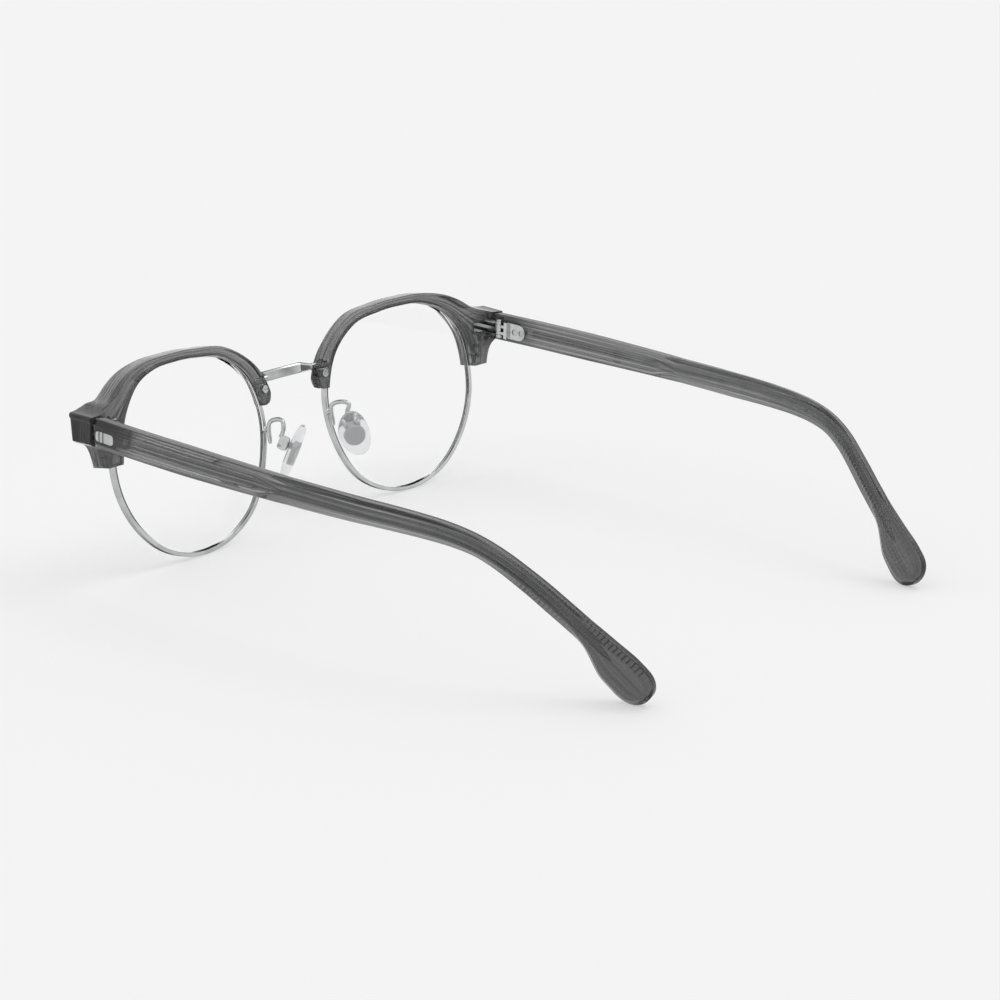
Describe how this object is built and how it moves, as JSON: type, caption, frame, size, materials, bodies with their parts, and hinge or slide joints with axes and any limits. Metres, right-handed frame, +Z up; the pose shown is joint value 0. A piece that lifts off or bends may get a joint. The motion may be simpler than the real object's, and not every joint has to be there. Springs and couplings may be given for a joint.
{
  "type": "browline eyeglasses",
  "caption": "Browline eyeglasses with clear lenses in metal rims, grey acetate brows, a metal bridge, adjustable nose pads and folding acetate temples.",
  "frame": {"origin": "on the table under the middle of the glasses, halfway between the foremost and the rearmost point", "axes": "+Z up, the lenses face -Y and the temples run back to +Y, +X is the wearer's left"},
  "size_m": [0.1388, 0.1492, 0.0467],
  "materials": {
    "grey_acetate": "polished translucent grey acetate",
    "polished_steel": "polished",
    "clear_lens": "clear",
    "clear_silicone": "clear, soft",
    "grey_plastic": "satin"
  },
  "bodies": {
    "front": {"left_brow": "grey_acetate", "right_brow": "grey_acetate", "left_rim": "polished_steel", "right_rim": "polished_steel", "left_lens": "clear_lens", "right_lens": "clear_lens", "left_rim_screw": "polished_steel", "right_rim_screw": "polished_steel", "left_brow_screw": "polished_steel", "right_brow_screw": "polished_steel", "bridge": "polished_steel", "left_pad_arm": "polished_steel", "right_pad_arm": "polished_steel", "left_pad_screw": "polished_steel", "right_pad_screw": "polished_steel", "left_front_hinge": "polished_steel", "right_front_hinge": "polished_steel", "left_hinge_screw": "polished_steel", "right_hinge_screw": "polished_steel"},
    "left_temple_arm": {"left_temple": "grey_acetate", "left_core_wire": "polished_steel", "left_temple_hinge": "polished_steel", "left_hinge_rivets": "polished_steel", "left_plaque": "polished_steel"},
    "left_pad": {"left_nose_pad": "clear_silicone", "left_pad_insert": "grey_plastic"},
    "right_temple_arm": {"right_temple": "grey_acetate", "right_core_wire": "polished_steel", "right_temple_hinge": "polished_steel", "right_hinge_rivets": "polished_steel", "right_plaque": "polished_steel"},
    "right_pad": {"right_nose_pad": "clear_silicone", "right_pad_insert": "grey_plastic"}
  },
  "joints": [
    {"name": "left_temple_fold", "type": "hinge", "parent": "front", "child": "left_temple_arm", "pos_m": [0.06432, -0.06061, 0.03551], "axis": [0, 0.0423, 0.9991], "range_deg": [0, 83]},
    {"name": "right_temple_fold", "type": "hinge", "parent": "front", "child": "right_temple_arm", "pos_m": [-0.06432, -0.06061, 0.03551], "axis": [0, -0.0423, -0.9991], "range_deg": [0, 68]},
    {"name": "left_pad_rock", "type": "hinge", "parent": "front", "child": "left_pad", "pos_m": [0.0113, -0.06176, 0.0217], "axis": [0.7265, 0.6236, 0.2885], "range_deg": [-10, 10]},
    {"name": "right_pad_rock", "type": "hinge", "parent": "front", "child": "right_pad", "pos_m": [-0.0113, -0.06176, 0.0217], "axis": [0.7265, -0.6236, -0.2885], "range_deg": [-10, 10]}
  ]
}
